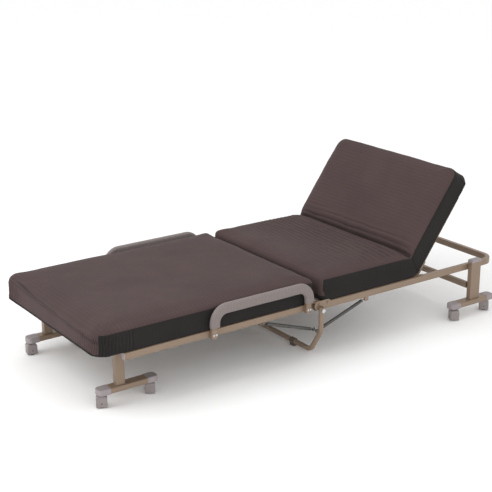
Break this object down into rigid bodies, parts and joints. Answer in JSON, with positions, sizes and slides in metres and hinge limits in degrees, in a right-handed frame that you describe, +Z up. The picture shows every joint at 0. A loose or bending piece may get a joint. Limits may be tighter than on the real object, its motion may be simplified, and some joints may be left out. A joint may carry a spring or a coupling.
{
  "type": "rollaway bed",
  "caption": "Single rollaway bed: padded mattress in brown cover, beige tube frame folding up at the centre, reclining backrest, side handles, centre leg and swivel casters.",
  "frame": {"origin": "centre of the bounding box on the floor", "axes": "+X to the head end, -Y the near side, +Z up"},
  "size_m": [2.1, 0.9668, 0.6974],
  "materials": {
    "beige_paint": "satin powder coat",
    "slat_steel": "satin powder coat",
    "grey_plastic": "fine moulded texture",
    "nylon": "smooth moulded",
    "mattress_cover": "close woven polyester",
    "handle_sleeve": "matte skin foam",
    "zinc_steel": "zinc plated",
    "spring_steel": "oiled, drawn wire",
    "black_rubber": "matte",
    "caster_plastic": "fine moulded texture",
    "caster_tyre": "matte tread"
  },
  "bodies": {
    "foot_leg": {"foot_leg_posts": "beige_paint", "foot_leg_bushes": "nylon", "foot_leg_cross_tube": "beige_paint", "foot_leg_bars": "beige_paint", "foot_leg_end_caps": "grey_plastic"},
    "foot_frame": {"foot_rails": "beige_paint", "foot_rail_plugs": "grey_plastic", "foot_pivot_tube": "beige_paint", "foot_cross_tubes": "beige_paint", "foot_slats": "slat_steel", "foot_end_panel": "slat_steel", "foot_cushion": "mattress_cover", "hinge_bolts": "zinc_steel", "foot_spring_tabs": "beige_paint", "handle_grip_tubes": "beige_paint", "handle_pads": "handle_sleeve", "handle_feet": "beige_paint", "handle_bolts": "zinc_steel"},
    "centre_leg": {"centre_leg_tube": "beige_paint", "knee_pins": "zinc_steel", "centre_leg_feet": "black_rubber"},
    "foot_spring_body": {"foot_springs": "spring_steel"},
    "head_spring_body": {"head_springs": "spring_steel"},
    "head_frame": {"head_rails": "beige_paint", "head_end_tube": "beige_paint", "head_cross_tubes": "beige_paint", "seat_slats": "slat_steel", "hinge_plates": "beige_paint", "head_spring_tabs": "beige_paint", "seat_cushion": "mattress_cover", "recliner_fixed_plates": "beige_paint", "head_pivot_pins": "zinc_steel"},
    "backrest": {"back_cushion": "mattress_cover", "recliner_moving_plates": "beige_paint", "back_side_tubes": "beige_paint", "back_cross_tubes": "beige_paint", "back_slats": "slat_steel"},
    "head_leg": {"head_leg_posts": "beige_paint", "head_leg_bushes": "nylon", "head_post_caps": "grey_plastic", "head_leg_cross_tube": "beige_paint", "head_leg_bars": "beige_paint", "head_leg_end_caps": "grey_plastic"},
    "swivel_foot_outer_near": {"caster_hood_foot_outer_near": "caster_plastic"},
    "wheels_foot_outer_near": {"caster_wheels_foot_outer_near": "caster_tyre"},
    "swivel_foot_outer_far": {"caster_hood_foot_outer_far": "caster_plastic"},
    "wheels_foot_outer_far": {"caster_wheels_foot_outer_far": "caster_tyre"},
    "swivel_foot_inner_near": {"caster_hood_foot_inner_near": "caster_plastic"},
    "wheels_foot_inner_near": {"caster_wheels_foot_inner_near": "caster_tyre"},
    "swivel_foot_inner_far": {"caster_hood_foot_inner_far": "caster_plastic"},
    "wheels_foot_inner_far": {"caster_wheels_foot_inner_far": "caster_tyre"},
    "swivel_head_inner_near": {"caster_hood_head_inner_near": "caster_plastic"},
    "wheels_head_inner_near": {"caster_wheels_head_inner_near": "caster_tyre"},
    "swivel_head_inner_far": {"caster_hood_head_inner_far": "caster_plastic"},
    "wheels_head_inner_far": {"caster_wheels_head_inner_far": "caster_tyre"},
    "swivel_head_outer_near": {"caster_hood_head_outer_near": "caster_plastic"},
    "wheels_head_outer_near": {"caster_wheels_head_outer_near": "caster_tyre"},
    "swivel_head_outer_far": {"caster_hood_head_outer_far": "caster_plastic"},
    "wheels_head_outer_far": {"caster_wheels_head_outer_far": "caster_tyre"}
  },
  "joints": [
    {"name": "fold", "type": "hinge", "parent": "foot_leg", "child": "foot_frame", "pos_m": [-0.903, 0, 0.223], "axis": [0, -1, 0], "range_deg": [0, 80]},
    {"name": "fold_head", "type": "hinge", "parent": "foot_frame", "child": "head_frame", "pos_m": [-0.013, 0, 0.223], "axis": [0, -1, 0], "range_deg": [-160, 0]},
    {"name": "head_leg_swing", "type": "hinge", "parent": "head_frame", "child": "head_leg", "pos_m": [0.877, 0, 0.223], "axis": [0, -1, 0], "range_deg": [0, 80]},
    {"name": "centre_leg_swing", "type": "hinge", "parent": "foot_frame", "child": "centre_leg", "pos_m": [-0.013, 0, 0.223], "axis": [0, -1, 0], "range_deg": [-80, 0]},
    {"name": "foot_spring_turn", "type": "hinge", "parent": "foot_frame", "child": "foot_spring_body", "pos_m": [-0.278, 0, 0.209], "axis": [0, -1, 0], "range_deg": [0, 17.2], "deforming": ["foot_springs"]},
    {"name": "head_spring_turn", "type": "hinge", "parent": "head_frame", "child": "head_spring_body", "pos_m": [0.252, 0, 0.209], "axis": [0, -1, 0], "range_deg": [-17.2, 0], "deforming": ["head_springs"]},
    {"name": "recline", "type": "hinge", "parent": "head_frame", "child": "backrest", "pos_m": [0.582, 0, 0.232], "axis": [0, -1, 0], "range_deg": [-54, 16]},
    {"name": "swivel_foot_outer_near", "type": "hinge", "parent": "foot_leg", "child": "swivel_foot_outer_near", "pos_m": [-0.973, -0.312, 0.05], "axis": [0, 0, 1], "continuous": true},
    {"name": "roll_foot_outer_near", "type": "hinge", "parent": "swivel_foot_outer_near", "child": "wheels_foot_outer_near", "pos_m": [-0.98013, -0.30837, 0.02], "axis": [-0.454, -0.891, 0], "continuous": true},
    {"name": "swivel_foot_outer_far", "type": "hinge", "parent": "foot_leg", "child": "swivel_foot_outer_far", "pos_m": [-0.973, 0.312, 0.05], "axis": [0, 0, 1], "continuous": true},
    {"name": "roll_foot_outer_far", "type": "hinge", "parent": "swivel_foot_outer_far", "child": "wheels_foot_outer_far", "pos_m": [-0.98088, 0.31339, 0.02], "axis": [-0.1736, -0.9848, 0], "continuous": true},
    {"name": "swivel_foot_inner_near", "type": "hinge", "parent": "foot_leg", "child": "swivel_foot_inner_near", "pos_m": [-0.767, -0.312, 0.05], "axis": [0, 0, 1], "continuous": true},
    {"name": "roll_foot_inner_near", "type": "hinge", "parent": "swivel_foot_inner_near", "child": "wheels_foot_inner_near", "pos_m": [-0.76337, -0.30487, 0.02], "axis": [-0.891, 0.454, 0], "continuous": true},
    {"name": "swivel_foot_inner_far", "type": "hinge", "parent": "foot_leg", "child": "swivel_foot_inner_far", "pos_m": [-0.767, 0.312, 0.05], "axis": [0, 0, 1], "continuous": true},
    {"name": "roll_foot_inner_far", "type": "hinge", "parent": "swivel_foot_inner_far", "child": "wheels_foot_inner_far", "pos_m": [-0.76561, 0.31988, 0.02], "axis": [-0.9848, 0.1736, 0], "continuous": true},
    {"name": "swivel_head_inner_near", "type": "hinge", "parent": "head_leg", "child": "swivel_head_inner_near", "pos_m": [0.771, -0.449, 0.05], "axis": [0, 0, 1], "continuous": true},
    {"name": "roll_head_inner_near", "type": "hinge", "parent": "swivel_head_inner_near", "child": "wheels_head_inner_near", "pos_m": [0.76737, -0.45613, 0.02], "axis": [0.891, -0.454, 0], "continuous": true},
    {"name": "swivel_head_inner_far", "type": "hinge", "parent": "head_leg", "child": "swivel_head_inner_far", "pos_m": [0.771, 0.449, 0.05], "axis": [0, 0, 1], "continuous": true},
    {"name": "roll_head_inner_far", "type": "hinge", "parent": "swivel_head_inner_far", "child": "wheels_head_inner_far", "pos_m": [0.76737, 0.45613, 0.02], "axis": [-0.891, -0.454, 0], "continuous": true},
    {"name": "swivel_head_outer_near", "type": "hinge", "parent": "head_leg", "child": "swivel_head_outer_near", "pos_m": [0.983, -0.449, 0.05], "axis": [0, 0, 1], "continuous": true},
    {"name": "roll_head_outer_near", "type": "hinge", "parent": "swivel_head_outer_near", "child": "wheels_head_outer_near", "pos_m": [0.97734, -0.44334, 0.02], "axis": [-0.7071, -0.7071, 0], "continuous": true},
    {"name": "swivel_head_outer_far", "type": "hinge", "parent": "head_leg", "child": "swivel_head_outer_far", "pos_m": [0.983, 0.449, 0.05], "axis": [0, 0, 1], "continuous": true},
    {"name": "roll_head_outer_far", "type": "hinge", "parent": "swivel_head_outer_far", "child": "wheels_head_outer_far", "pos_m": [0.97734, 0.44334, 0.02], "axis": [0.7071, -0.7071, 0], "continuous": true}
  ],
  "couplings": [
    {"joint": "fold_head", "follows": "fold", "ratio": -2},
    {"joint": "head_leg_swing", "follows": "fold", "ratio": 1},
    {"joint": "centre_leg_swing", "follows": "fold", "ratio": -1},
    {"joint": "foot_spring_turn", "follows": "fold", "ratio": 0.215},
    {"joint": "head_spring_turn", "follows": "fold", "ratio": -0.215}
  ]
}
